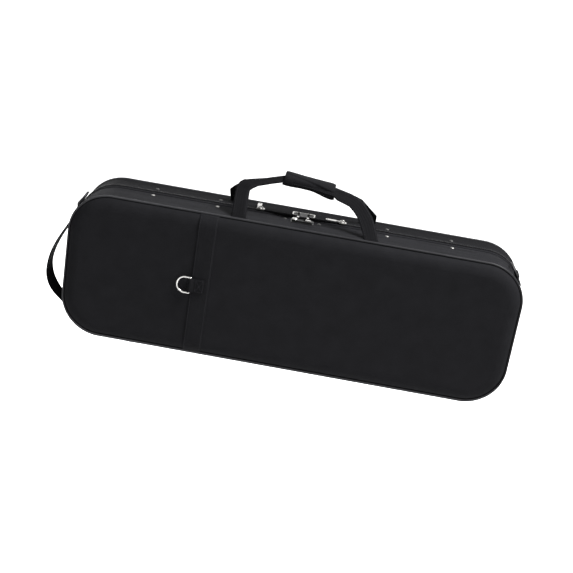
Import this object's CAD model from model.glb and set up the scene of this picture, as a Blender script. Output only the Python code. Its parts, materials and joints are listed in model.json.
"""Looks of an oblong violin case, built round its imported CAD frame.

Sizes in this script are in millimetres, in the frame's own axes: X along the case, -Y its back,
+Z up towards the handle. add_mesh() turns them into Blender's metres.
"""

import json
import math

import bmesh
import bpy
import numpy as np
from mathutils import Matrix, Vector
from mathutils.noise import noise


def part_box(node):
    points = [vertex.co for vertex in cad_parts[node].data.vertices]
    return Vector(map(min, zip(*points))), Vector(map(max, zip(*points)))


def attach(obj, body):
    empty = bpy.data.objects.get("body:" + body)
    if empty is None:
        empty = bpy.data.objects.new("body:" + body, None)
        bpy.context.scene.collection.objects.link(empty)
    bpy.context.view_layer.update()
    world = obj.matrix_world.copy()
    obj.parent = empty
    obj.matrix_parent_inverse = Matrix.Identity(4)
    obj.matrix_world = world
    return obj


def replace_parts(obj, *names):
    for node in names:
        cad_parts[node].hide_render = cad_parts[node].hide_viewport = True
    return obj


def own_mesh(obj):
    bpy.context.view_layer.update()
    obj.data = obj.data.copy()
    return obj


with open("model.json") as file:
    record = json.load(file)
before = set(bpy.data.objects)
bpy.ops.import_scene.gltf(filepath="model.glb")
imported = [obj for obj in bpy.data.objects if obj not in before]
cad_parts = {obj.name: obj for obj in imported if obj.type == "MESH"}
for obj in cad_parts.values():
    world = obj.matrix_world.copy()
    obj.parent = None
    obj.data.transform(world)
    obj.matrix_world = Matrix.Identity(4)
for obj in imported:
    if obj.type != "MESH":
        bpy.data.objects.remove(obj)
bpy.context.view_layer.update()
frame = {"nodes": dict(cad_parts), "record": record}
nodes = frame["nodes"]

MM = 0.001
BASE = -1
LID = 1
BODY = {BASE: "base", LID: "lid"}


def box_mm(node):
    """Lowest and highest corner of a CAD node, in millimetres."""
    low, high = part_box(node)
    return np.array(low) / MM, np.array(high) / MM


# ---- sizes taken from the frame ----

rim_low, rim_high = box_mm("base_rim_fabric")
HALF_L = rim_high[0]
HALF_H = (rim_high[2] - rim_low[2]) / 2
CENTRE_Z = (rim_high[2] + rim_low[2]) / 2
RIM_TOP = rim_high[2]
BASE_EDGE = rim_high[1]
LID_EDGE = box_mm("lid_rim_fabric")[0][1]
SPLIT_Y = (BASE_EDGE + LID_EDGE) / 2
PLATEAU = -box_mm("base_face_fabric")[0][1]
piping_low, piping_high = box_mm("base_piping")
PIPING_R = (piping_high[1] - piping_low[1]) / 2
HALF_SPAN = -(piping_high[1] + piping_low[1]) / 2

# ---- sizes of the soft parts ----

CORNER_R = 70.0
CROWN_WIDTH = 24.0
CROWN_DEPTH = PLATEAU - HALF_SPAN
CROWN_R = (CROWN_WIDTH**2 + CROWN_DEPTH**2) / (2 * CROWN_DEPTH)
WEBBING = 25.0


# ---- meshes ----


def add_mesh(name, points, faces, uvs=None):
    """A smooth mesh from points in millimetres and faces. uvs gives every face corner's (u, v) in metres."""
    mesh = bpy.data.meshes.new(name)
    mesh.from_pydata((np.asarray(points, float) * MM).tolist(), [], [list(f) for f in faces])
    if uvs is not None:
        layer = mesh.uv_layers.new(name="Cloth")
        layer.data.foreach_set("uv", np.asarray(uvs, np.float32).ravel())
    built = bmesh.new()
    built.from_mesh(mesh)
    bmesh.ops.remove_doubles(built, verts=built.verts, dist=2e-6)
    bmesh.ops.recalc_face_normals(built, faces=built.faces)
    built.to_mesh(mesh)
    built.free()
    mesh.polygons.foreach_set("use_smooth", [True] * len(mesh.polygons))
    obj = bpy.data.objects.new(name, mesh)
    bpy.context.scene.collection.objects.link(obj)
    return obj


def steps_along(points, closed):
    """Distance along a row of points, with the way back to the first one when it is closed."""
    points = np.asarray(points, float)
    following = np.roll(points, -1, axis=0) if closed else points[1:]
    lengths = np.linalg.norm(following - points[: len(following)], axis=1)
    return np.concatenate([[0.0], np.cumsum(lengths)])


def grid(name, points, around=False, along=False, caps=False, v=None):
    """Quads over points[row][column]. The rows join up when along is true, the columns when around is true.

    Its cloth coordinates are distances: u over the columns and v over the rows, or v as given.
    """
    points = np.asarray(points, float)
    rows, columns = points.shape[:2]
    u = steps_along(points[rows // 2], around)
    v = steps_along(points[:, columns // 4], along) if v is None else v
    faces = []
    uvs = []
    for i in range(rows if along else rows - 1):
        here = i * columns
        after = (i + 1) % rows * columns
        for j in range(columns if around else columns - 1):
            k = (j + 1) % columns
            faces.append((here + j, after + j, after + k, here + k))
            uvs += [(u[j], v[i]), (u[j], v[i + 1]), (u[j + 1], v[i + 1]), (u[j + 1], v[i])]
    if caps:
        for row in (0, rows - 1):
            faces.append([row * columns + j for j in range(columns)])
            uvs += [(u[j], v[row]) for j in range(columns)]
    return add_mesh(name, points.reshape(-1, 3), faces, np.array(uvs) * MM)


def unit(vectors):
    vectors = np.asarray(vectors, float)
    return vectors / np.maximum(np.linalg.norm(vectors, axis=-1, keepdims=True), 1e-9)


def tangents(path):
    return unit(np.gradient(np.asarray(path, float), axis=0))


def bezier(control, count):
    """Points on the Bezier curve of any number of control points."""
    control = np.asarray(control, float)
    t = np.linspace(0, 1, count)[:, None]
    degree = len(control) - 1
    total = 0
    for i, point in enumerate(control):
        total = total + math.comb(degree, i) * t**i * (1 - t) ** (degree - i) * point
    return total


def resample(points, spacing):
    """Points a fixed distance apart along a polyline, with its two ends kept."""
    points = np.asarray(points, float)
    length = steps_along(points, False)
    count = max(2, int(round(length[-1] / spacing)) + 1)
    at = np.linspace(0, length[-1], count)
    return np.stack([np.interp(at, length, points[:, k]) for k in range(points.shape[1])], -1)


def rounded_section(width, thickness, crown=0.0, parts=6):
    """Section of a flat strap, as (sideways, outward) pairs going round it. crown lifts its middle."""
    half = width / 2
    edge = thickness / 2
    flat = half - edge * 0.8
    section = []
    for x in np.linspace(flat, -flat, parts):
        section.append((x, edge + crown * (1 - (x / half) ** 2)))
    for angle in (135, 180, 225):
        bend = math.radians(angle)
        section.append((-flat + edge * 0.8 * math.cos(bend), edge * math.sin(bend)))
    for x in np.linspace(-flat, flat, parts):
        section.append((x, -edge + crown * (1 - (x / half) ** 2)))
    for angle in (-45, 0, 45):
        bend = math.radians(angle)
        section.append((flat + edge * 0.8 * math.cos(bend), edge * math.sin(bend)))
    return np.array(section)


def sweep(name, path, sideways, sections, outward=None):
    """A strap: sections, one for each point of path or one for all, swept along path."""
    path = np.asarray(path, float)
    along = tangents(path)
    sideways = unit(np.broadcast_to(np.asarray(sideways, float), path.shape))
    if outward is None:
        outward = unit(np.cross(sideways, along))
    sections = np.asarray(sections, float)
    if sections.ndim == 2:
        sections = np.broadcast_to(sections, (len(path),) + sections.shape)
    points = path[:, None] + sections[..., :1] * sideways[:, None] + sections[..., 1:] * outward[:, None]
    return grid(name, points, around=True, caps=True)


def scatter(name, shape, origins, ahead, side, up):
    """One mesh of many copies of shape, a (points, faces) pair, each on its own axes."""
    points, faces = shape
    points = np.asarray(points, float)
    origins, ahead, side, up = (np.asarray(a, float)[:, None] for a in (origins, ahead, side, up))
    placed = origins + points[:, :1] * ahead + points[:, 1:2] * side + points[:, 2:3] * up
    count = placed.shape[0]
    every = [[k * len(points) + i for i in face] for k in range(count) for face in faces]
    return add_mesh(name, placed.reshape(-1, 3), every)


def ring_stack(rings):
    """(points, faces) of closed rings skinned one to the next and capped, each ring a list of points."""
    size = len(rings[0])
    points = [p for ring in rings for p in ring]
    faces = []
    for i in range(len(rings) - 1):
        for j in range(size):
            k = (j + 1) % size
            faces.append((i * size + j, (i + 1) * size + j, (i + 1) * size + k, i * size + k))
    faces.append(list(range(size))[::-1])
    faces.append([(len(rings) - 1) * size + j for j in range(size)])
    return points, faces


STITCH_LENGTH = 2.3
STITCH_PITCH = 3.2
STITCH_R = 0.34
STITCH_SIDES = 6
# Rings of one stitch: place along it as a share of its length, then radius and lift as shares of its radius
STITCH_RINGS = (
    (-0.5, 0.35, -0.7), (-0.36, 0.85, 0.1), (0, 1.0, 0.35), (0.36, 0.85, 0.1), (0.5, 0.35, -0.7),
)
SEAM_INSET = 2.2  # a row of stitches stays this far inside the edge of its webbing


def stitch_shape():
    """One stitch along x, lying half sunk in the cloth at z = 0."""
    rings = []
    for x, r, lift in STITCH_RINGS:
        ring = []
        for k in range(STITCH_SIDES):
            turn = 2 * math.pi * k / STITCH_SIDES
            height = STITCH_R * (r * math.sin(turn) + lift)
            ring.append((x * STITCH_LENGTH, STITCH_R * r * math.cos(turn), height))
        rings.append(ring)
    return ring_stack(rings)


def stitch_rows(name, rows, body):
    """Stitches along rows of (points, outward), where outward is one direction or one for each point."""
    origins = []
    ahead = []
    up = []
    for points, outward in rows:
        outward = np.broadcast_to(np.asarray(outward, float), np.asarray(points).shape)
        path = resample(np.hstack([points, outward]), STITCH_PITCH)
        middle = (path[1:] + path[:-1]) / 2
        origins.append(middle[:, :3])
        ahead.append(unit(path[1:, :3] - path[:-1, :3]))
        up.append(unit(middle[:, 3:]))
    origins = np.vstack(origins)
    ahead = np.vstack(ahead)
    up = np.vstack(up)
    side = unit(np.cross(up, ahead))
    obj = scatter(name, stitch_shape(), origins, ahead, side, up)
    return dress(obj, thread, body)


def vertex_places(mesh):
    places = np.empty(len(mesh.vertices) * 3)
    mesh.vertices.foreach_get("co", places)
    return places.reshape(-1, 3)


def dress(obj, material, body):
    """Gives a piece its material and its body."""
    obj.data.materials.clear()
    obj.data.materials.append(material)
    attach(obj, body)
    return obj


# ---- materials ----


class Shader:
    """A node material: its Principled shader, and short calls for the nodes that feed it."""

    def __init__(self, name, **sockets):
        self.material = bpy.data.materials.new(name)
        self.material.use_nodes = True
        self.tree = self.material.node_tree
        self.surface = self.tree.nodes["Principled BSDF"]
        for socket, value in sockets.items():
            self.surface.inputs[socket.replace("_", " ")].default_value = value

    def node(self, kind, **settings):
        made = self.tree.nodes.new("ShaderNode" + kind)
        for key, value in settings.items():
            setattr(made, key, value)
        return made

    def feed(self, socket, source):
        if hasattr(source, "is_linked"):
            self.tree.links.new(source, socket)
        else:
            socket.default_value = source

    def math(self, operation, *values):
        made = self.node("Math", operation=operation)
        for socket, value in zip(made.inputs, values):
            self.feed(socket, value)
        return made.outputs[0]

    def cloth(self):
        """Distances across and along a piece, in metres."""
        across, along, _ = self.axes(self.node("UVMap", uv_map="Cloth").outputs[0])
        return across, along

    def place(self):
        return self.node("TexCoord").outputs["Object"]

    def axes(self, vector):
        """The x, y and z of a vector."""
        split = self.node("SeparateXYZ")
        self.tree.links.new(vector, split.inputs[0])
        return split.outputs

    def noise(self, scale, detail=3.0, roughness=0.55, stretch=None, vector=None):
        """Noise from 0 to 1, of scale features to the metre."""
        vector = self.place() if vector is None else vector
        if stretch is not None:
            mapping = self.node("Mapping")
            mapping.inputs["Scale"].default_value = stretch
            self.tree.links.new(vector, mapping.inputs["Vector"])
            vector = mapping.outputs[0]
        made = self.node("TexNoise")
        self.tree.links.new(vector, made.inputs["Vector"])
        made.inputs["Scale"].default_value = scale
        made.inputs["Detail"].default_value = detail
        made.inputs["Roughness"].default_value = roughness
        return made.outputs["Fac"]

    def between(self, amount, low, high):
        """low where amount is 0 and high where it is 1."""
        made = self.node("MapRange")
        self.feed(made.inputs["Value"], amount)
        made.inputs["To Min"].default_value = low
        made.inputs["To Max"].default_value = high
        return made.outputs[0]

    def sharpen(self, amount, start, end):
        """0 below start and 1 above end."""
        made = self.node("MapRange")
        self.feed(made.inputs["Value"], amount)
        made.inputs["From Min"].default_value = start
        made.inputs["From Max"].default_value = end
        return made.outputs[0]

    def paint(self, amount, low, high):
        """Colours the surface from low to high by amount."""
        made = self.node("Mix", data_type="RGBA")
        self.feed(made.inputs["Factor"], amount)
        ends = [socket for socket in made.inputs if socket.type == "RGBA"]
        ends[0].default_value = (*low, 1)
        ends[1].default_value = (*high, 1)
        colour = next(socket for socket in made.outputs if socket.type == "RGBA")
        self.tree.links.new(colour, self.surface.inputs["Base Color"])

    def rough(self, amount, low, high):
        self.tree.links.new(self.between(amount, low, high), self.surface.inputs["Roughness"])

    def relief(self, height, distance, strength=1.0, below=None):
        """Bump of height, in metres at height 1. below is a bump that it lies on."""
        made = self.node("Bump")
        made.inputs["Distance"].default_value = distance
        made.inputs["Strength"].default_value = strength
        self.tree.links.new(height, made.inputs["Height"])
        if below is not None:
            self.tree.links.new(below, made.inputs["Normal"])
        self.tree.links.new(made.outputs[0], self.surface.inputs["Normal"])
        return made.outputs[0]

    def plain_weave(self, pitch):
        """Threads that pass over and under each other, from 0 to 1."""
        across, along = self.cloth()
        turn = math.pi / pitch
        warp = self.math("SINE", self.math("MULTIPLY", across, turn))
        weft = self.math("SINE", self.math("MULTIPLY", along, turn))
        over = self.math("MULTIPLY", warp, weft)
        warp_up = self.math("MULTIPLY_ADD", over, 0.4, 0.6)
        weft_up = self.math("MULTIPLY_ADD", over, -0.4, 0.6)
        warp_height = self.math("MULTIPLY", self.math("ABSOLUTE", warp), warp_up)
        weft_height = self.math("MULTIPLY", self.math("ABSOLUTE", weft), weft_up)
        return self.math("MAXIMUM", warp_height, weft_height)

    def chevron_weave(self, pitch, run):
        """Ribs across a strap that turn back every run, as in woven webbing."""
        across, along = self.cloth()
        zigzag = self.math("PINGPONG", across, run)
        slope = self.math("ADD", along, zigzag)
        rib = self.math("SINE", self.math("MULTIPLY", slope, 2 * math.pi / pitch))
        cord = self.math("SINE", self.math("MULTIPLY", across, 2 * math.pi / (run / 2)))
        mixed = self.math("MULTIPLY_ADD", cord, 0.3, rib)
        return self.math("MULTIPLY_ADD", mixed, 0.38, 0.5)


def times(colour, factor):
    return tuple(channel * factor for channel in colour)


def cover_cloth(name="cover_fabric", streaks=False, shade=1.0):
    """Black nylon canvas over padding, with long rubbed streaks where it is stretched over the rim."""
    shader = Shader(name, Sheen_Weight=0.004, Sheen_Roughness=0.45, Specular_IOR_Level=0.012)
    shader.surface.inputs["Sheen Tint"].default_value = (0.80, 0.82, 0.88, 1)
    weave = shader.plain_weave(0.0009)
    mottle = shader.noise(38, 4)
    tone = shader.math("MULTIPLY", weave, shader.between(mottle, 0.55, 1.3))
    if streaks:
        cloth_place = shader.node("UVMap", uv_map="Cloth").outputs[0]
        rubbed = shader.noise(1.0, 4, 0.6, stretch=(330, 9, 1), vector=cloth_place)
        tone = shader.math("MULTIPLY", tone, shader.between(shader.sharpen(rubbed, 0.32, 0.70), 0.35, 1.75))
    shader.paint(tone, times((0.0020, 0.0020, 0.0022), shade), times((0.0080, 0.0080, 0.0090), shade))
    shader.rough(mottle, 0.62, 0.80)
    soft = shader.relief(shader.noise(60, 3), 0.0009, 0.35)
    shader.relief(weave, 0.00022, 0.8, soft)
    return shader.material


def piping_cloth():
    """Smooth black cord cover, paler at the left and where the case rubs the ground."""
    shader = Shader("piping", Specular_IOR_Level=0.055, Sheen_Weight=0.005)
    grain = shader.noise(900, 3)
    x, _, z = shader.axes(shader.place())
    left = shader.sharpen(shader.math("MULTIPLY", x, -1.0), -0.05, 0.30)
    low = shader.sharpen(shader.math("MULTIPLY", z, -1.0), -0.040, -0.012)
    worn = shader.math("MULTIPLY_ADD", left, 0.30, shader.math("MULTIPLY", low, 0.75))
    mottled = shader.math("MULTIPLY_ADD", shader.noise(70, 3), 0.22, worn)
    shader.paint(mottled, (0.0045, 0.0045, 0.005), (0.030, 0.030, 0.032))
    shader.rough(grain, 0.36, 0.52)
    soft = shader.relief(shader.noise(140, 2), 0.0006, 0.4)
    shader.relief(grain, 0.00012, 0.6, soft)
    return shader.material


def strap_webbing(name="webbing", faded=1.0):
    """Black woven nylon strap."""
    shader = Shader(name, Specular_IOR_Level=0.012, Sheen_Weight=0.003)
    weave = shader.chevron_weave(0.0016, 0.0031)
    wear = shader.noise(55, 4)
    tone = shader.math("MULTIPLY", weave, shader.between(wear, 0.6, 1.25))
    shader.paint(tone, times((0.0014, 0.0014, 0.0016), faded), times((0.0050, 0.0050, 0.0056), faded))
    shader.rough(weave, 0.75, 0.55)
    shader.relief(weave, 0.00030, 0.9)
    return shader.material


def wrap_cloth():
    """Soft brushed nylon round the grip."""
    shader = Shader("grip_wrap", Specular_IOR_Level=0.015, Sheen_Weight=0.006, Sheen_Roughness=0.4)
    weave = shader.plain_weave(0.0007)
    fuzz = shader.noise(420, 4)
    tone = shader.math("MULTIPLY", weave, shader.between(fuzz, 0.5, 1.3))
    shader.paint(tone, (0.0016, 0.0016, 0.0018), (0.0060, 0.0060, 0.0067))
    shader.rough(fuzz, 0.70, 0.88)
    soft = shader.relief(shader.noise(90, 3), 0.0010, 0.5)
    shader.relief(weave, 0.00018, 0.8, soft)
    return shader.material


def zip_cloth():
    shader = Shader("zip_tape", Specular_IOR_Level=0.012, Sheen_Weight=0.003)
    weave = shader.chevron_weave(0.0011, 0.0019)
    shader.paint(weave, (0.0014, 0.0014, 0.0016), (0.0052, 0.0052, 0.0060))
    shader.rough(weave, 0.75, 0.55)
    shader.relief(weave, 0.00020, 0.8)
    return shader.material


def bright_nickel(name="nickel", worn=1.0):
    """Polished nickel plate with fine scratches and a little handling haze."""
    shader = Shader(name, Metallic=1.0)
    haze = shader.noise(120, 5, 0.6)
    scratches = shader.noise(900, 2, 0.5, stretch=(0.15, 1, 1))
    shader.paint(haze, times((0.62, 0.61, 0.59), worn), times((0.80, 0.79, 0.77), worn))
    shader.rough(shader.math("MULTIPLY", haze, scratches), 0.10, 0.42)
    shader.relief(scratches, 0.00004, 0.35)
    return shader.material


def blackened_metal():
    """Dark plated wire, rubbed brighter in places."""
    shader = Shader("dark_metal", Metallic=0.85)
    rub = shader.noise(160, 5, 0.65)
    worn = shader.sharpen(rub, 0.52, 0.70)
    shader.paint(worn, (0.010, 0.010, 0.011), (0.045, 0.044, 0.043))
    shader.rough(worn, 0.48, 0.32)
    shader.relief(shader.noise(700, 3), 0.00005, 0.4)
    return shader.material


def rivet_nickel():
    """Nickel dulled next to the latch, where hands rub it, and brighter further out."""
    shader = Shader("rivet_nickel", Metallic=0.95)
    x = shader.axes(shader.place())[0]
    outer = shader.sharpen(shader.math("MULTIPLY", x, -1.0), 0.06, 0.14)
    right = shader.sharpen(x, 0.06, 0.14)
    kept = shader.math("MULTIPLY_ADD", right, 0.6, outer)
    haze = shader.between(shader.noise(420, 5, 0.65), 0.6, 1.1)
    shader.paint(shader.math("MULTIPLY", kept, haze), (0.035, 0.035, 0.034), (0.25, 0.245, 0.235))
    shader.rough(haze, 0.28, 0.44)
    shader.relief(shader.noise(1500, 3), 0.00004, 0.4)
    return shader.material


def raised_nickel(name, low, high, dull=0.03, side=0.12):
    """Blackened plate whose parts between two heights over the rim are worn back to bright nickel."""
    shader = Shader(name, Metallic=0.95)
    height = shader.axes(shader.place())[2]
    upward = shader.axes(shader.node("TexCoord").outputs["Normal"])[2]
    above = shader.sharpen(height, (RIM_TOP + low - 0.25) * MM, (RIM_TOP + low) * MM)
    below = shader.sharpen(height, (RIM_TOP + high + 0.25) * MM, (RIM_TOP + high) * MM)
    haze = shader.between(shader.noise(420, 4, 0.6), 0.75, 1.1)
    top = shader.between(shader.sharpen(upward, 0.1, 0.8), side, 1.0)
    inside = shader.math("MULTIPLY", above, below)
    worn = shader.math("MULTIPLY", inside, shader.math("MULTIPLY", haze, top))
    shader.paint(worn, (dull, dull, dull), (0.58, 0.57, 0.55))
    shader.rough(worn, 0.45, 0.20)
    shader.relief(shader.noise(1300, 3), 0.00004, 0.4)
    return shader.material


def grainy(name, grain, tones, roughness, relief=None, pits=None, **sockets):
    """A material whose colour and roughness follow one noise, grain, and its bump that one or pits."""
    shader = Shader(name, **sockets)
    amount = shader.noise(*grain)
    shader.paint(amount, *tones)
    shader.rough(amount, *roughness)
    if relief is not None:
        shader.relief(amount if pits is None else shader.noise(*pits), *relief)
    return shader.material


def moulded_plastic():
    shader = Shader("spinner_plastic", Specular_IOR_Level=0.5)
    grain = shader.noise(1100, 3)
    shader.paint(shader.noise(90, 3), (0.022, 0.022, 0.024), (0.034, 0.034, 0.036))
    shader.rough(grain, 0.34, 0.50)
    shader.relief(grain, 0.00006, 0.5)
    return shader.material


def velvet(name, low, high):
    """Short dense pile."""
    shader = Shader(name, Specular_IOR_Level=0.15, Sheen_Weight=0.55, Sheen_Roughness=0.35)
    shader.surface.inputs["Sheen Tint"].default_value = (0.55, 0.56, 0.66, 1)
    pile = shader.noise(2200, 3)
    brushed = shader.noise(26, 4, 0.6)
    shader.paint(shader.math("MULTIPLY_ADD", brushed, 0.75, shader.math("MULTIPLY", pile, 0.25)), low, high)
    shader.rough(pile, 0.82, 0.95)
    soft = shader.relief(brushed, 0.0012, 0.25)
    shader.relief(pile, 0.00030, 0.7, soft)
    return shader.material


cover = cover_cloth(shade=0.93)
rim_cloth = {
    BASE: cover_cloth("base_rim_fabric", streaks=True, shade=0.96),
    LID: cover_cloth("lid_rim_fabric", streaks=True, shade=0.52),
}
piping = piping_cloth()
webbing = strap_webbing()
faded_webbing = strap_webbing("faded_webbing", 1.6)
band_weave = strap_webbing("band_webbing", 1.45)
wrap = wrap_cloth()
tape = zip_cloth()
nickel = bright_nickel()
dark = blackened_metal()
plastic = moulded_plastic()
plush = velvet("plush", (0.022, 0.022, 0.032), (0.060, 0.060, 0.078))

twisted = (2600, 2, 0.55, (1, 3, 1))
tones = (0.005, 0.005, 0.006), (0.015, 0.015, 0.017)
thread = grainy("thread", twisted, tones, (0.45, 0.62), Specular_IOR_Level=0.03, Sheen_Weight=0.003)
tones = (0.0015, 0.0015, 0.0018), (0.0042, 0.0042, 0.0046)
coil = grainy("zip_coil", (600, 2), tones, (0.28, 0.42), Specular_IOR_Level=0.07)
tones = (0.010, 0.010, 0.010), (0.020, 0.020, 0.020)
rubber = grainy("foot_rubber", (700, 4), tones, (0.62, 0.85), (0.00015, 0.6), Specular_IOR_Level=0.35)
tones = (0.58, 0.57, 0.53), (0.75, 0.74, 0.70)
foam = grainy("shell_foam", (1500, 3), tones, (0.80, 0.95), (0.0003, 0.7), Specular_IOR_Level=0.2)
tones = (0.0002, 0.0002, 0.0002), (0.0014, 0.0014, 0.0015)
felt = grainy("binding_felt", (1400, 4), tones, (0.85, 1.0), (0.0002, 0.6), Specular_IOR_Level=0.0)
tones = (0.018, 0.018, 0.018), (0.065, 0.064, 0.062)
aged = grainy("aged_nickel", (420, 5, 0.65), tones, (0.34, 0.52), (0.00004, 0.4), (1500, 3), Metallic=0.95)

by_slot = {
    "cover_fabric": cover,
    "piping": piping,
    "webbing": webbing,
    "grip_wrap": wrap,
    "shell_foam": foam,
    "plush": plush,
    "nickel": nickel,
    "dark_metal": dark,
    "zip_tape": tape,
    "zip_coil": coil,
    "foot_rubber": rubber,
    "spinner_plastic": plastic,
}
small_metal = raised_nickel("small_metal", 1.0, 14.0, 0.05)
own_material = {
    "band_ring": bright_nickel("ring_nickel", 0.6),
    "base_rivets": rivet_nickel(),
    "lid_rivets": aged,
    "lock_case": raised_nickel("lock_metal", 5.2, 9.0, 0.015),
    "catch_plate": raised_nickel("catch_metal", 2.3, 3.4, 0.015, 0.9),
}
for name in ("lock_button", "key_barrel"):
    own_material[name] = small_metal
for name in ("zip_slider_left", "zip_slider_right", "zip_pull_left", "zip_pull_right"):
    own_material[name] = small_metal
for part in frame["record"]["subparts"]:
    material = own_material.get(part["node"], by_slot[part["material_slot"]])
    filled = nodes[part["node"]].data.materials
    if len(filled) == 0:
        filled.append(material)
    for index in range(len(filled)):
        filled[index] = material


# ---- outline of the case ----


def case_outline(step):
    """Points and outward normals round the case, in its plane, from the middle of the hinge side."""
    flat_x = HALF_L - CORNER_R
    flat_h = HALF_H - CORNER_R
    points = []
    normals = []

    def straight(start, end, normal):
        count = max(2, 2 * int(round(math.dist(start, end) / step / 2)))
        for k in range(count):
            t = k / count
            points.append((start[0] * (1 - t) + end[0] * t, start[1] * (1 - t) + end[1] * t))
            normals.append(normal)

    def corner(centre, first_angle):
        count = int(round(CORNER_R * math.pi / 2 / step))
        for k in range(count):
            angle = math.radians(first_angle + 90 * k / count)
            normal = (math.cos(angle), math.sin(angle))
            points.append((centre[0] + CORNER_R * normal[0], centre[1] + CORNER_R * normal[1]))
            normals.append(normal)

    straight((0, -HALF_H), (flat_x, -HALF_H), (0, -1))
    corner((flat_x, -flat_h), -90)
    straight((HALF_L, -flat_h), (HALF_L, flat_h), (1, 0))
    corner((flat_x, flat_h), 0)
    straight((flat_x, HALF_H), (0, HALF_H), (0, 1))
    straight((0, HALF_H), (-flat_x, HALF_H), (0, 1))
    corner((-flat_x, flat_h), 90)
    straight((-HALF_L, flat_h), (-HALF_L, -flat_h), (-1, 0))
    corner((-flat_x, -flat_h), 180)
    straight((-flat_x, -HALF_H), (0, -HALF_H), (0, -1))
    return np.array(points), np.array(normals)


def stand(x, h, w, side=BASE):
    """Points of the case plane, x along and h up from the middle, w out from it, in the frame."""
    x, h, w = np.broadcast_arrays(np.asarray(x, float), np.asarray(h, float), np.asarray(w, float))
    return np.stack([x, side * w, CENTRE_Z + h], -1)


def inset_of(x, h):
    """How far a point of the case plane lies inside the outline."""
    beyond_x = abs(x) - (HALF_L - CORNER_R)
    beyond_h = abs(h) - (HALF_H - CORNER_R)
    outside = math.hypot(max(beyond_x, 0), max(beyond_h, 0))
    return CORNER_R - outside - min(max(beyond_x, beyond_h), 0)


def ease(value, start, end):
    """0 at start and 1 at end, with a smooth way between them."""
    t = min(max((value - start) / (end - start), 0), 1)
    return t * t * (3 - 2 * t)


def wander(x, h, size, seed):
    """Smooth noise from about -1 to 1 with features of that size."""
    return noise(Vector((x / size, h / size, seed)))


FACE_SEED = {BASE: 3.7, LID: 11.2}


def face_height(x, h, side=BASE):
    """How far the padded face stands out at a point, with its puckered edge and slight waves."""
    inset = inset_of(x, h)
    height = PLATEAU
    if inset < CROWN_WIDTH:
        height = PLATEAU - CROWN_R + math.sqrt(CROWN_R**2 - (CROWN_WIDTH - inset) ** 2)
    seed = FACE_SEED[side]
    fullness = 0.8 * ease(inset, 1, 9) - 0.55 * ease(inset, 22, 60)
    waves = 0.30 * wander(x, h, 75, seed) * ease(inset, 6, 26)
    puckers = 0.55 * wander(x, h, 8, seed + 5) * math.exp(-inset / 7) * ease(inset, 0.5, 3)
    return height + fullness + waves + puckers


def edge_band(name, side, step, profile, material):
    """Closed band round one shell. profile(x, h, nx, nh, s) is its section, as (outwards, depth) pairs.

    x, h is a point of the outline, nx, nh its outward normal and s its distance along the outline.
    """
    points, normals = case_outline(step)
    length = steps_along(points, True)
    rows = []
    for (x, h), (nx, nh), s in zip(points, normals, length):
        section = np.array(profile(x, h, nx, nh, s))
        rows.append(stand(x + section[:, 0] * nx, h + section[:, 0] * nh, section[:, 1], side))
    obj = grid(name, np.array(rows), around=True, along=True, v=length)
    return dress(obj, material, BODY[side])


# ---- padded faces ----

COVER_T = 1.15
OUTLINE_STEP = 3.0
FACE_INSETS = np.concatenate([np.linspace(0.7, 24, 20), np.linspace(28, 60, 8)])


def face_rings(insets, more):
    """Rings over a face: one at each inset from the outline, then more that close on its middle line."""
    points, normals = case_outline(OUTLINE_STEP)
    rings = [points - inset * normals for inset in insets]
    innermost = rings[-1]
    middle = np.stack([np.clip(points[:, 0], HALF_H - HALF_L, HALF_L - HALF_H), 0 * points[:, 0]], -1)
    for t in np.linspace(0, 1, more + 1)[1:]:
        rings.append(innermost * (1 - t) + middle * t)
    return rings


def face_cover(name, side):
    """Closed padded cover of one face: an outer and an inner sheet joined under the piping."""
    outer = []
    inner = []
    for ring in face_rings(FACE_INSETS, 11):
        heights = np.array([face_height(x, h, side) for x, h in ring])
        outer.append(stand(ring[:, 0], ring[:, 1], heights, side))
        inner.append(stand(ring[:, 0], ring[:, 1], heights - COVER_T, side))
    obj = grid(name, np.array(inner[::-1] + outer), around=True)
    corners = np.empty(len(obj.data.loops), int)
    obj.data.loops.foreach_get("vertex_index", corners)
    flat = vertex_places(obj.data)[corners][:, [0, 2]]
    obj.data.uv_layers["Cloth"].data.foreach_set("uv", flat.astype(np.float32).ravel())
    dress(obj, cover, BODY[side])
    return obj


base_face = face_cover("base_padded_face", BASE)
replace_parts(base_face, "base_face_fabric")
lid_face = face_cover("lid_padded_face", LID)
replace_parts(lid_face, "lid_face_fabric")


# ---- rim covers ----

MOUTH_T = 0.35
LINER_O = -9.0


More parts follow.
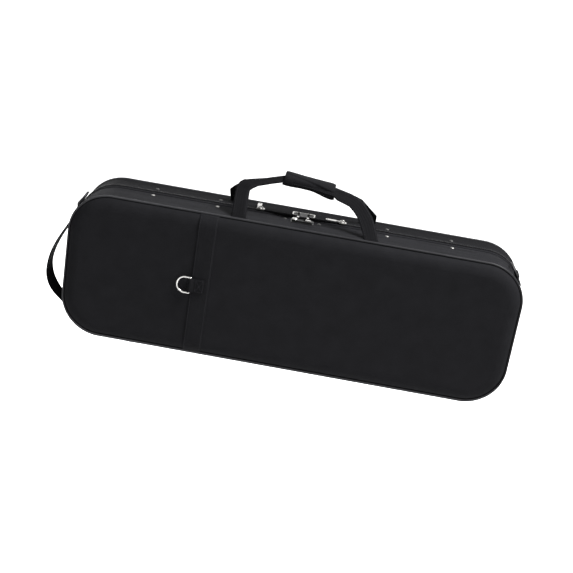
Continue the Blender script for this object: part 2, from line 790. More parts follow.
def rim_cover(name, side):
    """Cover of one shell's rim, from under the piping, round the opening edge and in to the lining."""
    edge = BASE_EDGE * side if side == BASE else LID_EDGE
    lining_starts = edge + (5.4 if side == BASE else 3.0)
    mouth = edge - MOUTH_T
    tape_end = edge + 12.5
    start = HALF_SPAN - 2.4
    span = np.concatenate([np.linspace(start, tape_end, 14), np.linspace(tape_end - 2, edge + 0.8, 5)])
    # Over the opening edge, down inside it to the lining and back, as (outwards, depth)
    fixed = [
        (-0.45, edge + 0.05), (-1.1, mouth), (-3.5, mouth), (-6.5, mouth), (-8.7, mouth),
        (LINER_O - 0.30, edge + 0.05), (LINER_O - 0.32, edge + 0.9), (LINER_O - 0.32, lining_starts - 0.1),
        (LINER_O - 0.04, lining_starts - 0.1), (LINER_O - 0.04, edge - 0.03), (-0.97, edge - 0.03),
        (-0.97, start),
    ]
    seed = FACE_SEED[side] + 20

    def profile(x, h, nx, nh, s):
        top = []
        for w in span:
            free = ease(w, tape_end - 1, tape_end + 4) * ease(start - w, 0, 3)
            waves = 0.14 * wander(x + 2 * h, w, 34, seed) + 0.06 * wander(x + 2 * h, w, 9, seed + 3)
            top.append((free * (0.16 + waves), w))
        return top + fixed

    return edge_band(name, side, OUTLINE_STEP, profile, rim_cloth[side])


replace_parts(rim_cover("base_rim_cover", BASE), "base_rim_fabric")
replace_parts(rim_cover("lid_rim_cover", LID), "lid_rim_fabric")


# ---- piping ----

PIPING_JOINT_X = -262.0
PIPING_STEP = 2.0
CORD_SIDES = 12


def covered_cord(name, side):
    """Piping round one face, a little fatter on the hinge side and at its joint there."""

    def profile(x, h, nx, nh, s):
        joint = math.exp(-(((x - PIPING_JOINT_X) / 7) ** 2)) if h < -HALF_H + 1 else 0
        down = max(-nh, 0)
        radius = PIPING_R * (1 + 0.03 * wander(x, h, 11, 31) + 0.16 * joint + 0.30 * down)
        ring = []
        for k in range(CORD_SIDES):
            turn = 2 * math.pi * k / CORD_SIDES
            ring.append((radius * math.cos(turn) + 0.5 * down, HALF_SPAN + radius * math.sin(turn) + down))
        return ring

    return edge_band(name, side, PIPING_STEP, profile, piping)


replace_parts(covered_cord("base_piping_cord", BASE), "base_piping")
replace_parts(covered_cord("lid_piping_cord", LID), "lid_piping")


def seam_tape(name, side):
    """Matt tape sewn into the seam between the piping and the padded face."""
    inner = 0.5 * PIPING_R

    def profile(x, h, nx, nh, s):
        wide = PIPING_R + 0.3 + 2.5 * ease(-nh, -0.6, 1.0) + 0.2 * wander(x, h, 14, 57)
        section = []
        for inset, lift in ((inner, 0.12), (wide - 0.3, 0.18), (wide, 0.08), (wide, -0.4), (inner, -0.4)):
            height = face_height(x - inset * nx, h - inset * nh, side)
            section.append((-inset, height + lift))
        return section

    return edge_band(name, side, PIPING_STEP, profile, felt)


seam_tape("base_seam_tape", BASE)
seam_tape("lid_seam_tape", LID)


# ---- band across the back ----

band_low, band_high = box_mm("back_band")
BAND_X = (band_low[0] + band_high[0]) / 2
BAND_W = band_high[0] - band_low[0]
BAND_T = 1.5


def over_face(x, h, lift):
    return stand(x, h, face_height(x, h) + lift)


def back_band():
    """Webbing across the back, from piping to piping, lying on the padding."""
    reach = HALF_H - 1.2
    across = rounded_section(BAND_W, BAND_T, 0.0, 9)
    rows = []
    for h in resample([(-reach, 0), (reach, 0)], 2.5)[:, 0]:
        row = []
        for x, lift in across:
            row.append(over_face(BAND_X + x, h, BAND_T / 2 + lift + 0.05))
        rows.append(row)
    obj = grid("back_band_webbing", np.array(rows), around=True, caps=True)
    dress(obj, band_weave, "base")
    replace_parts(obj, "back_band")
    seams = []
    for x in (SEAM_INSET - BAND_W / 2, BAND_W / 2 - SEAM_INSET):
        hs = np.linspace(-reach + 3, reach - 3, 90)
        path = np.array([over_face(BAND_X + x, h, BAND_T + 0.05) for h in hs])
        outward = unit(np.cross(tangents(path), (-1.0, 0, 0)))
        outward = outward * np.sign(-outward[:, 1:2])
        seams.append((path, outward))
    stitch_rows("back_band_stitches", seams, "base")


back_band()


def tab_path(reach, layer, bar_height):
    """Path of webbing sewn down, looped round a ring's bar and sewn down again, as (s, r) pairs.

    s runs from the bar along the surface and r stands off it.
    """
    bend = bar_height - layer / 2
    path = [(s, layer / 2) for s in np.linspace(reach, 1.0, 8)]
    for angle in np.linspace(-90, -300, 16):
        turn = math.radians(angle)
        path.append((bend * math.cos(turn), bar_height + bend * math.sin(turn)))
    last = path[-1]
    over = 1.5 * layer
    down = bezier([last, (last[0] + 2.4, last[1] - 1.6), (5.0, over + 0.4), (8.0, over)], 6)
    path += [tuple(point) for point in down[1:]]
    path += [(s, over) for s in np.linspace(8.0, reach, 8)[1:]]
    return np.array(path)


def looped_tab(name, node, place, sideways, reach, layer, bar_height, body):
    """A ring's webbing tab, from where it is sewn down, round the ring's bar and back."""
    path = tab_path(reach, layer, bar_height)
    spine = np.array([place(s, r) for s, r in path])
    obj = sweep(name, spine, sideways, rounded_section(WEBBING - 0.4, layer * 0.94, 0.0, 8))
    dress(obj, webbing, body)
    if node is not None:
        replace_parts(obj, node)
    return obj


def box_stitches(place, normal, sideways, start, end, height, half):
    """Rows of a stitched box with a cross in it, on top of a tab from start to end."""
    side = np.asarray(sideways, float)

    def line(s0, q0, s1, q1):
        t = np.linspace(0, 1, 12)
        points = [place(s0 + (s1 - s0) * k, height) + side * (q0 + (q1 - q0) * k) for k in t]
        outward = [normal(s0 + (s1 - s0) * k) for k in t]
        return np.array(points), np.array(outward)

    return [
        line(start, -half, end, -half),
        line(end, -half, end, half),
        line(end, half, start, half),
        line(start, half, start, -half),
        line(start, -half, end, half),
        line(start, half, end, -half),
    ]


BOX_HALF = WEBBING / 2 - SEAM_INSET
LOOP_R = 3.8  # outside of the webbing round a ring's bar
BAND_BAR_X = box_mm("band_ring_tab")[0][0] + LOOP_R
TAB_SURFACE = PLATEAU + BAND_T


def on_band(s, r):
    return np.array([BAND_BAR_X + s, -(TAB_SURFACE + 0.15 + r), CENTRE_Z])


looped_tab("band_ring_keeper", "band_ring_tab", on_band, (0, 0, 1), 24, 1.5, LOOP_R, "base")
keeper_box = box_stitches(on_band, lambda s: (0, -1, 0), (0, 0, 1), 9.5, 22.3, 3.0, BOX_HALF)
stitch_rows("band_keeper_stitches", keeper_box, "base")


# ---- corner ring tabs ----

corner_low, corner_high = box_mm("corner_ring_left")
CORNER_Y = (corner_low[1] + corner_high[1]) / 2
CORNER_BAR_R = CORNER_R + 1.8 + 0.3 + 1.5
# Where each ring's bar lies round its corner, in degrees
LEFT_ANGLE = 147.0
RIGHT_ANGLE = 41.0
TAB_REACH = 18.0


def on_corner(side, angle):
    """Two functions for a top corner, of s, the way round it from its ring's bar: place and normal."""
    centre_x = side * (HALF_L - CORNER_R)
    centre_z = CENTRE_Z + HALF_H - CORNER_R

    def place(s, r):
        turn = math.radians(angle) - side * s / CORNER_R
        reach = CORNER_R + 0.1 + r
        return np.array([centre_x + reach * math.cos(turn), CORNER_Y, centre_z + reach * math.sin(turn)])

    def normal(s):
        turn = math.radians(angle) - side * s / CORNER_R
        return (math.cos(turn), 0, math.sin(turn))

    return place, normal


corner_tabs = []
for side, angle, label in ((-1, LEFT_ANGLE, "left"), (1, RIGHT_ANGLE, "right")):
    place, normal = on_corner(side, angle)
    bar_height = CORNER_BAR_R - CORNER_R
    tab = looped_tab("corner_tab_" + label, None, place, (0, side, 0), TAB_REACH, 1.5, bar_height, "base")
    corner_tabs.append(tab)
    rows = box_stitches(place, normal, (0, 1, 0), 9.0, TAB_REACH - 1.5, 3.0, BOX_HALF)
    stitch_rows("corner_stitches_" + label, rows, "base")
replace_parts(corner_tabs[0], "corner_ring_tabs")


# ---- end strap ----

strap_low, strap_high = box_mm("end_strap")
END_STRAP_Y = (strap_low[1] + strap_high[1]) / 2
END_STRAP_T = 2.0
# Control points of the bow, as (x, z)
END_PATH = [(-394, 212), (-394, 190), (-436, 150), (-466, 70), (-394, 64), (-394, 40)]


def end_strap():
    """Webbing bow on the left end, with a slight twist that grows towards its lower end."""
    path = bezier(END_PATH, 90)
    share = np.linspace(0, 1, len(path))
    twist = np.radians(14) * np.sin(np.pi * np.clip((share - 0.48) / 0.50, 0, 1)) ** 1.5
    twist += np.radians(5.5) * np.sin(np.pi * share)
    path = np.stack([path[:, 0], np.full(len(path), END_STRAP_Y), path[:, 1]], -1)
    along = tangents(path)
    flat_side = np.broadcast_to((0.0, 1.0, 0.0), path.shape)
    outward = unit(np.cross(along, flat_side))
    sideways = flat_side * np.cos(twist)[:, None] + outward * np.sin(twist)[:, None]
    sections = []
    for t in share:
        thickness = END_STRAP_T + 0.5 * ease(t, 0.6, 0.9)
        sections.append(rounded_section(WEBBING, thickness, 0.6 * math.sin(math.pi * t), 8))
    obj = sweep("end_strap_webbing", path, sideways, sections)
    dress(obj, webbing, "base")
    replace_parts(obj, "end_strap")
    rows = []
    for z0, z1 in ((192, 210), (43, 60)):
        place = lambda s, r: np.array([-(HALF_L + 2.3), END_STRAP_Y, s])
        rows += box_stitches(place, lambda s: (-1, 0, 0), (0, 1, 0), z0, z1, 0, BOX_HALF)
    stitch_rows("end_strap_stitches", rows, "base")


end_strap()


# ---- handle ----

ANCHOR_Z = RIM_TOP + 1.6
BACK_ANCHOR_Y = -50.0
LID_ANCHOR_Y = 45.0
BACK_LEAN = math.radians(31.5)
LID_LEAN = math.radians(30.5)
# Stations along each strap: outer and inner edge as (x, up the strap's plane), thickness
BACK_STATIONS = [
    ((-119.5, -1.4), (-94.5, -1.4), 2.6), ((-120.3, 18), (-95.2, 18), 2.4),
    ((-121.0, 40), (-96.2, 38), 2.4), ((-120.5, 51), (-96.4, 47.5), 3.0),
    ((-116.5, 61), (-93.0, 51.5), 4.6), ((-110.0, 66.2), (-88.0, 55), 5.2),
    ((-96.0, 68), (-84.0, 58.0), 4.8), ((-80.0, 72.6), (-78.0, 60.0), 4.4),
    ((-62.0, 79), (-61.0, 66.2), 4.6), ((-44.0, 84.5), (-44.0, 71.5), 5.0),
    ((0.0, 80.8), (0.0, 68.8), 5.0), ((46.0, 76.3), (46.0, 62.2), 5.0),
    ((54.0, 77), (53.0, 57), 3.6), ((76.0, 73), (75.0, 50), 3.0),
    ((90.0, 67), (84.0, 42.5), 2.8), ((99.5, 60.5), (90.5, 35.0), 2.8),
    ((108.5, 50), (95.0, 28.5), 2.6), ((118.0, 38), (99.5, 20), 2.5),
    ((126.0, 21), (104.5, 10), 2.4), ((134.0, -1.4), (109.0, -1.4), 2.6),
]
LID_STATIONS = [
    ((-133.5, -1.4), (-108.5, -1.4), 2.6), ((-135.8, 15), (-110, 13), 2.4), ((-136.5, 25), (-110, 20), 2.6),
    ((-128.0, 36), (-104.0, 28), 3.4), ((-107.0, 56), (-92.0, 44), 4.0), ((-74.0, 67), (-70.0, 54), 4.4),
    ((-44.0, 80), (-44.0, 67), 4.8), ((0.0, 76.2), (0.0, 63.2), 4.8), ((48.0, 72), (48.0, 59), 4.8),
    ((72.0, 65), (68.0, 50.5), 4.0), ((96.0, 55), (84.0, 42), 3.6), ((112.0, 37), (94.0, 27), 3.0),
    ((126.5, 21), (101.5, 16), 2.6), ((127.0, 11), (101.5, 8), 2.4), ((126.5, -1.4), (101.5, -1.4), 2.6),
]


def strap_plane(anchor_y, lean, x, up, off):
    """Points of a handle strap: x along the case, up its plane from the rim and off it, outwards."""
    toward = -1 if anchor_y > 0 else 1
    y = anchor_y + toward * (up * math.sin(lean) - off * math.cos(lean))
    z = ANCHOR_Z + up * math.cos(lean) + off * math.sin(lean)
    return np.stack(np.broadcast_arrays(x, y, z), -1)


def handle_strap(body, node, stations, anchor_y, lean, material, seed):
    """Webbing strap whose legs stand flat and whose middle is folded to half width."""
    name = body + "_webbing"
    table = resample([(*outer, *inner, t) for outer, inner, t in stations], 2.6)
    rows = []
    top_edge = []
    low_edge = []
    for k, (ox, ou, ix, iu, t) in enumerate(table):
        width = math.dist((ox, ou), (ix, iu))
        section = rounded_section(width, t, 0.0, 8)
        bow = 0.5 * wander(k / 9, 0, 1, seed)
        share = section[:, 0] / width + 0.5
        x = ix + (ox - ix) * share
        up = iu + (ou - iu) * share
        rows.append(strap_plane(anchor_y, lean, x, up, section[:, 1] + bow * np.sin(np.pi * share)))
        for edge, at in ((top_edge, 0.88), (low_edge, 0.12)):
            ex = ix + (ox - ix) * at
            eu = iu + (ou - iu) * at
            edge.append(strap_plane(anchor_y, lean, ex, eu, t / 2 + bow * math.sin(math.pi * at)))
    obj = grid(name, np.array(rows), around=True, caps=True)
    dress(obj, material, body)
    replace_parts(obj, node)
    outward = strap_plane(anchor_y, lean, 0, 0, 1) - strap_plane(anchor_y, lean, 0, 0, 0)
    # The stitches stop short of the anchors at both ends
    seams = [(np.array(edge[3:-5]), outward) for edge in (top_edge, low_edge)]
    stitch_rows(name + "_stitches", seams, body)


handle_strap("back_handle", "base_handle_strap", BACK_STATIONS, BACK_ANCHOR_Y, BACK_LEAN, webbing, 41)
handle_strap("lid_handle", "lid_handle_strap", LID_STATIONS, LID_ANCHOR_Y, LID_LEAN, faded_webbing, 43)


def anchor_roll(name, x_from, x_to, y, body):
    """Turned-under end of a strap leg, sewn to the rim and covering its seam."""
    path = resample([(x_from - 1.2, y, RIM_TOP), (x_to + 1.2, y, RIM_TOP)], 2.0)
    sections = []
    for k in range(len(path)):
        t = k / (len(path) - 1)
        end = min(1.0, 0.45 + 6 * min(t, 1 - t))
        lift = 1.9 * end
        half = 3.4 * end
        turn = np.linspace(0, np.pi, 9)
        ring = np.stack([half * np.cos(turn), lift * np.sin(turn) - 0.1], -1)
        sections.append(np.vstack([ring, [(-half * 0.5, -0.4), (half * 0.5, -0.4)]]))
    obj = sweep(name, path, (0, 1, 0), sections, outward=np.broadcast_to((0.0, 0, 1.0), path.shape))
    dress(obj, webbing, body)


anchor_roll("back_anchor_left", -119.5, -94.5, BACK_ANCHOR_Y, "base")
anchor_roll("back_anchor_right", 109, 134, BACK_ANCHOR_Y, "base")
anchor_roll("lid_anchor_left", -133.5, -108.5, LID_ANCHOR_Y, "lid")
anchor_roll("lid_anchor_right", 101.5, 126.5, LID_ANCHOR_Y, "lid")


# ---- grip wrap ----

WRAP_FROM = -43.0
WRAP_TO = 47.0
WRAP_SIDES = 56
WRAP_SLOPE = math.tan(math.radians(-5.6))
FLAP_T = 1.8


def power(value, exponent):
    return math.copysign(abs(value) ** exponent, value)


def grip_wrap():
    """Padded wrap closed round both straps, its top flap lapped over the front with a slanting edge."""
    back_mid = strap_plane(BACK_ANCHOR_Y, BACK_LEAN, 0.0, 75.0, 0.0)
    lid_mid = strap_plane(LID_ANCHOR_Y, LID_LEAN, 0.0, 69.8, 0.0)
    middle_y = (back_mid[1] + lid_mid[1]) / 2
    middle_z = (back_mid[2] + lid_mid[2]) / 2 + 0.5
    half_y = (lid_mid[1] - back_mid[1]) / 2 + 4.2
    xs = resample([(WRAP_FROM, 0), (WRAP_TO, 0)], 1.8)[:, 0]
    rows = []
    for x in xs:
        t = (x - WRAP_FROM) / (WRAP_TO - WRAP_FROM)
        end = 0.93 + 0.07 * ease(min(t, 1 - t), 0, 0.05)
        waist = math.sin(math.pi * min(1.0, t * 1.1)) ** 2
        half_up = (11.4 - 1.5 * waist + 1.6 * ease(t, 0.6, 0.95)) * end
        lift = 1.2 * waist - 1.4 * ease(t, 0.6, 0.95) - 0.6
        lap = 100 + 75 * t
        row = []
        for k in range(WRAP_SIDES):
            degrees = 360 * k / WRAP_SIDES
            turn = math.radians(degrees)
            c = power(math.cos(turn), 0.75)
            s = power(math.sin(turn), 0.80)
            over = FLAP_T * ease(degrees, lap + 3, lap - 3)
            if degrees > 250:
                over = FLAP_T * ease(degrees, 262, 300)
            soft = 0.6 * noise(Vector((x / 15, degrees / 60, 51)))
            y = middle_y + c * (half_y * end + over + soft)
            z = middle_z + WRAP_SLOPE * x + lift + s * (half_up + over + soft)
            lean = 2.2 * ease(t, 0.12, 0) * s
            row.append((x + lean + 0.8 * noise(Vector((degrees / 50, t * 3, 57))), y, z))
        rows.append(row)
    obj = grid("grip_wrap_roll", np.array(rows), around=True, caps=True)
    dress(obj, wrap, "back_handle")
    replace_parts(obj, "handle_wrap")
    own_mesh(obj)


grip_wrap()


# ---- zip ----

TAPE_T = 0.8
TAPE_W = 11.5
TEETH_PITCH = 1.5
slider_left_low, slider_left_high = box_mm("zip_slider_left")
slider_right_low, slider_right_high = box_mm("zip_slider_right")
OPEN_FROM = (slider_left_low[0] + slider_left_high[0]) / 2
OPEN_TO = (slider_right_low[0] + slider_right_high[0]) / 2
ZIP_END_H = -(HALF_H - CORNER_R)
FOLD_LEFT = 17.0
FOLD_RIGHT = 11.0
FOLD_RUN = 44.0  # the fold grows to its full depth over this length
LATCH_HALF = 21.0
LID_GAP = 1.6


def zip_route(step):
    """The stretch of outline that the zip follows: up one end, over the handle side, down the other."""
    points, normals = case_outline(step)
    first = next(i for i, p in enumerate(points) if p[0] > HALF_L - 0.01 and p[1] >= ZIP_END_H)
    last = max(i for i, p in enumerate(points) if p[0] < -HALF_L + 0.01 and p[1] >= ZIP_END_H)
    return points[first : last + 1], normals[first : last + 1]


def parted(x, h, side):
    """How far a row of teeth is drawn back from the middle, between the two sliders.

    The base's tape is folded back over the rim, the lid's only gapes a little.
    """
    if h < HALF_H - 0.5 or x <= OPEN_FROM or x >= OPEN_TO:
        return 0.0
    if side == LID:
        gape = math.sin(math.pi * (x - OPEN_FROM) / (OPEN_TO - OPEN_FROM))
        return LID_GAP * gape * (1 - 0.85 * ease(-abs(x), -LATCH_HALF - 9, -LATCH_HALF))
    most = FOLD_LEFT if x < 0 else FOLD_RIGHT
    run = min(x - OPEN_FROM, OPEN_TO - x)
    beside_latch = 11.0 + 8.0 * ease(abs(x), LATCH_HALF, LATCH_HALF + 6)
    return min(most * min(1.0, max(0.0, run - 5) / FOLD_RUN), beside_latch)


# Rings of one tooth: distance from its tip, half width, lowest and highest place over the tape
TOOTH_RINGS = (
    (0, 0.28, 0.35, 1.15), (0.35, 0.46, 0.15, 1.6), (1.0, 0.42, 0.02, 1.75), (2.0, 0.40, 0.0, 1.6),
    (2.5, 0.28, 0.0, 0.9),
)
TOOTH_SIDES = 8


def blacken(obj, inside):
    """Gives the open stretch its matt black underside, where inside(place) holds."""
    obj.data.materials.append(felt)
    for face in obj.data.polygons:
        at = np.array(face.center) / MM
        if at[2] > RIM_TOP - 1 and OPEN_FROM < at[0] < OPEN_TO and inside(at):
            face.material_index = 1


def zip_tape_half(side):
    """One tape, folded back where the zip is open, with its row of stitches."""
    body = BODY[side]
    points, normals = zip_route(2.5)
    rows = []
    seam = []
    for (x, h), (nx, nh) in zip(points, normals):
        drawn = parted(x, h, side)
        near = SPLIT_Y + side * 0.4 if side == BASE else SPLIT_Y + side * (0.4 + drawn)
        fold = SPLIT_Y + side * (0.4 + max(drawn, 5.0))
        far = SPLIT_Y + side * (0.4 + max(TAPE_W, drawn + 2.2))
        ys = np.concatenate([np.linspace(near, fold, 5), np.linspace(fold, far, 5)[1:]])
        heights = np.full(9, TAPE_T)
        heights[0] -= 0.15
        heights[-1] -= 0.25
        tops = [(x + o * nx, y, CENTRE_Z + h + o * nh) for y, o in zip(ys, heights)]
        bottoms = [(x + 0.02 * nx, y, CENTRE_Z + h + 0.02 * nh) for y in ys[::-1]]
        rows.append(tops + bottoms)
        seam.append((x + TAPE_T * nx, far - side * 2.0, CENTRE_Z + h + TAPE_T * nh, nx, 0, nh))
    obj = grid(body + "_tape", np.array(rows), around=True, caps=True)
    dress(obj, tape, body)
    if side == BASE:
        blacken(obj, lambda at: at[1] > SPLIT_Y - 0.4 - parted(at[0], HALF_H, BASE))
    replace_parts(obj, body + "_zip_tape")
    seam = np.array(seam)
    stitch_rows(body + "_tape_stitches", [(seam[:, :3], seam[:, 3:])], body)


def zip_coil(side):
    """One row of teeth, standing half a pitch off the other."""
    body = BODY[side]
    fine, fine_normals = zip_route(TEETH_PITCH)
    track = resample(np.hstack([fine, fine_normals]), TEETH_PITCH)
    origins = []
    ahead = tangents(np.stack([track[:, 0], 0 * track[:, 0], track[:, 1]], -1))
    up = unit(np.stack([track[:, 2], 0 * track[:, 2], track[:, 3]], -1))
    half_step = 0.5 if side == BASE else 0.0
    for (x, h, nx, nh), direction in zip(track, ahead):
        y = SPLIT_Y + side * (0.12 + parted(x, h, side))
        start = np.array([x + TAPE_T * nx, y, CENTRE_Z + h + TAPE_T * nh])
        origins.append(start + direction * half_step * TEETH_PITCH)
    rings = []
    for y, half, low, high in TOOTH_RINGS:
        middle = (low + high) / 2
        reach = (high - low) / 2
        ring = []
        for k in range(TOOTH_SIDES):
            turn = 2 * math.pi * (k + 0.5) / TOOTH_SIDES
            ring.append((half * math.cos(turn) * 1.1, y, middle + reach * math.sin(turn) * 1.05))
        rings.append(ring)
    sideways = np.broadcast_to((0.0, float(side), 0.0), up.shape)
    teeth = scatter(body + "_coil", ring_stack(rings), origins, ahead, sideways, up)
    dress(teeth, coil, body)
    blacken(teeth, lambda at: parted(at[0], HALF_H, BASE) > 0.5)
    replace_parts(teeth, body + "_zip_teeth")


for side in (BASE, LID):
    zip_tape_half(side)
    zip_coil(side)


# ---- plush inside ----


def soft_copy(name, sources, voxel, rounds, body, puff, grain):
    """Padded piece in the space of CAD solids, melted into one skin, softened and rumpled.

    voxel is the size of its cells, rounds how often it is smoothed, puff how far waves of size grain go.
    """
    merged = bmesh.new()
    for source in sources:
        solid = bmesh.new()
        solid.from_mesh(nodes[source].data)
        bmesh.ops.remove_doubles(solid, verts=solid.verts, dist=1e-6)
        copied = bpy.data.meshes.new(name)
        solid.to_mesh(copied)
        solid.free()
        merged.from_mesh(copied)
        bpy.data.meshes.remove(copied)
    mesh = bpy.data.meshes.new(name)
    merged.to_mesh(mesh)
    merged.free()
    obj = bpy.data.objects.new(name, mesh)
    bpy.context.scene.collection.objects.link(obj)
    skin = obj.modifiers.new("Skin", "REMESH")
    skin.mode = "VOXEL"
    skin.voxel_size = voxel * MM
    soften = obj.modifiers.new("Soften", "SMOOTH")
    soften.factor = 0.5
    soften.iterations = rounds
    graph = bpy.context.evaluated_depsgraph_get()
    softened = bpy.data.meshes.new_from_object(obj.evaluated_get(graph))
    obj.modifiers.clear()
    obj.data = softened
    places = vertex_places(softened)
    outward = np.array([vertex.normal for vertex in softened.vertices])
    swell = [noise(Vector(at)) + 0.4 * noise(Vector(at) / 0.3) for at in places / (grain * MM)]
    places += outward * (puff * MM * np.array(swell)[:, None])
    softened.vertices.foreach_set("co", places.astype(np.float32).ravel())
    softened.polygons.foreach_set("use_smooth", [True] * len(softened.polygons))
    dress(obj, plush, body)
    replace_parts(obj, *sources)


def lining_band(name, node, side, profile, channel):
    """Lining of a shell's rim: a closed profile of (outwards, depth, puff), gathered at every channel."""
    around = steps_along(case_outline(OUTLINE_STEP)[0], True)[-1]
    pitch = around / round(around / channel)

    def puffed(x, h, nx, nh, s):
        fullness = abs(math.sin(math.pi * s / pitch)) ** 0.45
        section = []
        for out, depth, puffs in profile:
            section.append((out - puffs * (fullness + 0.25 * wander(x + h, depth, 18, 71)), depth))
        return section

    obj = edge_band(name, side, OUTLINE_STEP, puffed, plush)
    if node is not None:
        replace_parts(obj, node)


base_lining_low, base_lining_high = box_mm("base_liner")
LINING_BACK = -base_lining_low[1] - 0.1
LINING_LIP = -base_lining_high[1]
BACK_OUT = LINER_O - 0.06
base_profile = [(BACK_OUT, LINING_BACK, 0), (BACK_OUT, LINING_LIP + 1.0, 0), (-9.7, LINING_LIP + 0.2, 0)]
base_profile += [(-10.6, LINING_LIP, 0), (-11.5, LINING_LIP + 0.4, 0), (-12.0, LINING_LIP + 1.4, 0.25)]
base_profile += [(-12.0, LINING_LIP + 3.5, 0.35), (-12.0, LINING_LIP + 5.8, 0.1), (-12.05, LINING_BACK, 0)]
lining_band("base_lining", "base_liner", BASE, base_profile, 48)

lid_lining_low, lid_lining_high = box_mm("lid_liner")
LID_LIP = lid_lining_low[1]
LID_FLOOR = lid_lining_high[1] - 3.0
lid_profile = [(BACK_OUT, LID_FLOOR + 0.4, 0), (BACK_OUT, LID_LIP + 1.0, 0), (-9.7, LID_LIP + 0.2, 0)]
lid_profile += [(-10.6, LID_LIP, 0), (-11.5, LID_LIP + 0.4, 0), (-12.0, LID_LIP + 1.4, 0.2)]
for depth in np.linspace(LID_LIP + 3, LID_FLOOR - 1.5, 11):
    middle = (depth - LID_LIP) / (LID_FLOOR - LID_LIP)
    lid_profile.append((-12.0, depth, 1.5 * math.sin(math.pi * middle) ** 0.5))
lid_profile.append((-12.0, LID_FLOOR + 0.4, 0))
lining_band("lid_lining_band", None, LID, lid_profile, 48)

QUILT = 72.0


def lid_quilt():
    """Lining of the lid's panel, quilted in diamonds over a thin pad."""
    near = []
    far = []
    for ring in face_rings(np.linspace(9.3, 60, 22), 27):
        depths = []
        for x, h in ring:
            puff = abs(math.sin(math.pi * (x + h) / QUILT) * math.sin(math.pi * (x - h) / QUILT)) ** 0.42
            swell = 1.9 * puff + 0.25 * wander(x, h, 16, 73)
            depths.append(LID_FLOOR - swell * ease(inset_of(x, h), 11, 22))
        near.append(stand(ring[:, 0], ring[:, 1], np.array(depths), LID))
        far.append(stand(ring[:, 0], ring[:, 1], LID_FLOOR + 2.8, LID))
    obj = grid("lid_quilted_lining", np.array(far[::-1] + near), around=True)
    dress(obj, plush, "lid")
    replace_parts(obj, "lid_liner")
    rows = []
    span_x = HALF_L - 26
    span_h = HALF_H - 26
    reach = span_x + span_h
    for slant in (1, -1):
        for offset in np.arange(-math.floor(reach / QUILT), math.floor(reach / QUILT) + 1) * QUILT:
            line = []
            for x in np.arange(-span_x, span_x, 2.0):
                h = slant * (offset - x)
                if abs(h) < span_h and inset_of(x, h) > 22:
                    depth = LID_FLOOR - 0.15 - 0.25 * wander(x, h, 16, 73)
                    line.append(stand(x, h, depth, LID))
            if len(line) > 8:
                rows.append((np.array(line), (0, -1, 0)))
    stitch_rows("lid_quilt_stitches", rows, "lid")


lid_quilt()
tray_nodes = ["tray_floor", "tray_left", "tray_middle", "tray_right"]
soft_copy("violin_tray", tray_nodes, 2.6, 8, "base", 0.45, 30.0)
soft_copy("neck_pad", ["neck_cradle"], 1.6, 8, "base", 0.3, 14.0)
soft_copy("accessory_tub", ["accessory_box"], 0.8, 3, "base", 0.12, 10.0)
soft_copy("accessory_cover", ["accessory_lid"], 1.0, 5, "pocket_lid", 0.2, 12.0)
soft_copy("bow_pads", ["bow_rests"], 1.3, 7, "lid", 0.25, 10.0)
soft_copy("bow_tip_pockets", ["bow_tip_loops"], 0.7, 3, "lid", 0.12, 8.0)


def neck_ties():
    """Two webbing ends lapped over the neck, held by their touch fastener."""
    low, high = box_mm("neck_strap")
    x = (low[0] + high[0]) / 2
    width = high[0] - low[0]
    under = -high[1] + 2.25
    over = under - 1.5
    low_h = low[2] - CENTRE_Z
    high_h = high[2] - CENTRE_Z
    lower = [(low_h, under), (low_h + 12, under), (-14, under + 2.0), (-2, under + 1.2), (8, under)]
    upper = [(high_h, under), (high_h - 9, under), (high_h - 12, over), (10, over + 1.4), (-4, over)]
    made = []
    for label, control in (("lower", lower), ("upper", upper)):
        path = bezier(control, 26)
        spine = stand(x, path[:, 0], path[:, 1])
        obj = sweep("neck_tie_" + label, spine, (1, 0, 0), rounded_section(width, 1.4, 0.0, 8))
        made.append(dress(obj, webbing, "base"))
        seams = []
        for edge in (-width / 2 + 2, width / 2 - 2):
            lifted = stand(x + edge, path[1:-1, 0], path[1:-1, 1] - 0.72)
            seams.append((lifted, (0, 1, 0)))
        stitch_rows("neck_tie_stitches_" + label, seams, "base")
    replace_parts(made[0], "neck_strap")


neck_ties()


def ribbon_loop():
    """Ribbon loop sewn to the accessory cover, to lift it by."""
    low, high = box_mm("accessory_lid_loop")
    middle = (low + high) / 2
    radius = (high[2] - low[2]) / 2 - 0.7
    angles = np.radians(np.linspace(180, 0, 19))
    spine = []
    for angle in angles:
        height = radius * 1.08 * math.sin(angle)
        spine.append((middle[0], low[1] + height, middle[2] + radius * math.cos(angle)))
    obj = sweep("accessory_ribbon", spine, (1, 0, 0), rounded_section(high[0] - low[0], 1.1, 0.0, 6))
    dress(obj, webbing, "pocket_lid")
    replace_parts(obj, "accessory_lid_loop")


ribbon_loop()


# ---- metal parts kept from the frame ----

BEVELLED = {
    "lock_plate": 0.35, "lock_case": 0.45, "lock_button": 0.25, "key_barrel": 0.25, "catch_plate": 0.30,
    "hasp": 0.35, "zip_slider_left": 0.35, "zip_slider_right": 0.35, "zip_pull_left": 0.30,
    "zip_pull_right": 0.30, "hinge_base_leaves": 0.2, "hinge_lid_leaves": 0.2,
    "bow_spinner_upper": 0.8, "bow_spinner_lower": 0.8, "base_feet": 0.8, "lid_feet": 0.8,
}
for name, width in BEVELLED.items():
    weld = nodes[name].modifiers.new("Weld", "WELD")
    weld.merge_threshold = 0.00001
    bevel = nodes[name].modifiers.new("Edges", "BEVEL")
    bevel.width = width * MM
    bevel.segments = 2
    bevel.limit_method = "ANGLE"
    bevel.angle_limit = math.radians(35)


# ---- stage ----

FLOOR_Z = -600.0


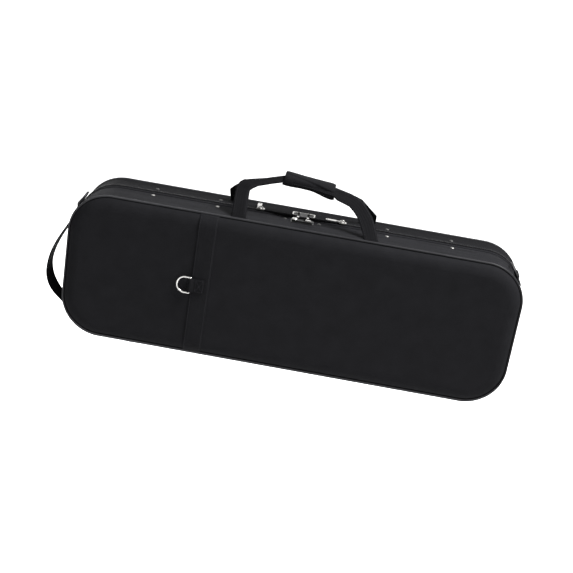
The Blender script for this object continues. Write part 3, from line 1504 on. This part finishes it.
def floor():
    """Pale ground, far enough below for the opened lid to hang clear."""
    rings = []
    turns = np.linspace(0, 2 * math.pi, 49)[:-1]
    for radius in (0.0, 900.0, 3000.0, 9000.0, 30000.0):
        rings.append([(radius * math.cos(turn), radius * math.sin(turn), FLOOR_Z) for turn in turns])
    obj = grid("ground", np.array(rings), around=True)
    shader = Shader("ground", Specular_IOR_Level=0.1)
    grain = shader.noise(3, 2)
    shader.paint(grain, (0.93, 0.93, 0.93), (0.96, 0.96, 0.96))
    shader.rough(grain, 0.85, 0.95)
    obj.data.materials.append(shader.material)


floor()

world = bpy.data.worlds.new("studio")
world.use_nodes = True
world.node_tree.nodes["Background"].inputs["Color"].default_value = (1.0, 1.0, 1.0, 1)
world.node_tree.nodes["Background"].inputs["Strength"].default_value = 1.25
bpy.context.scene.world = world


def softbox(name, place, target, size, power):
    light = bpy.data.lights.new(name, "AREA")
    light.shape = "RECTANGLE"
    light.size = size[0]
    light.size_y = size[1]
    light.energy = power
    obj = bpy.data.objects.new(name, light)
    obj.location = place
    aim = Vector(target) - Vector(place)
    obj.rotation_euler = aim.to_track_quat("-Z", "Y").to_euler()
    bpy.context.scene.collection.objects.link(obj)


# Place, target and size in metres, power in watts
softbox("key", (1.1, -0.35, 2.0), (0, 0, 0.2), (0.8, 0.6), 245)
softbox("front_fill", (0.9, -2.4, 1.2), (0, 0, 0.1), (1.4, 1.4), 12)
softbox("back_fill", (-1.0, 2.4, 0.45), (0, 0, 0.1), (1.4, 0.7), 16)

scene = bpy.context.scene
scene.view_settings.view_transform = "Standard"
scene.view_settings.look = "None"


# ---- camera ----

CAMERA_AT = Vector((59.2, -1945.3, 853.8)) * MM
CAMERA_AHEAD = Vector((-0.0328, 0.9378, -0.3457)).normalized()
CAMERA_ROLL = math.radians(9.42)
level = CAMERA_AHEAD.cross(Vector((0, 0, 1))).normalized()
upright = level.cross(CAMERA_AHEAD)
right = math.cos(CAMERA_ROLL) * level + math.sin(CAMERA_ROLL) * upright
above = -math.sin(CAMERA_ROLL) * level + math.cos(CAMERA_ROLL) * upright
camera = bpy.data.cameras.new("camera")
camera.lens = 73.3
camera.sensor_width = 36
camera.clip_end = 100
viewer = bpy.data.objects.new("camera", camera)
turned = Matrix((right, above, -CAMERA_AHEAD)).transposed()
viewer.matrix_world = Matrix.Translation(CAMERA_AT) @ turned.to_4x4()
scene.collection.objects.link(viewer)
scene.camera = viewer
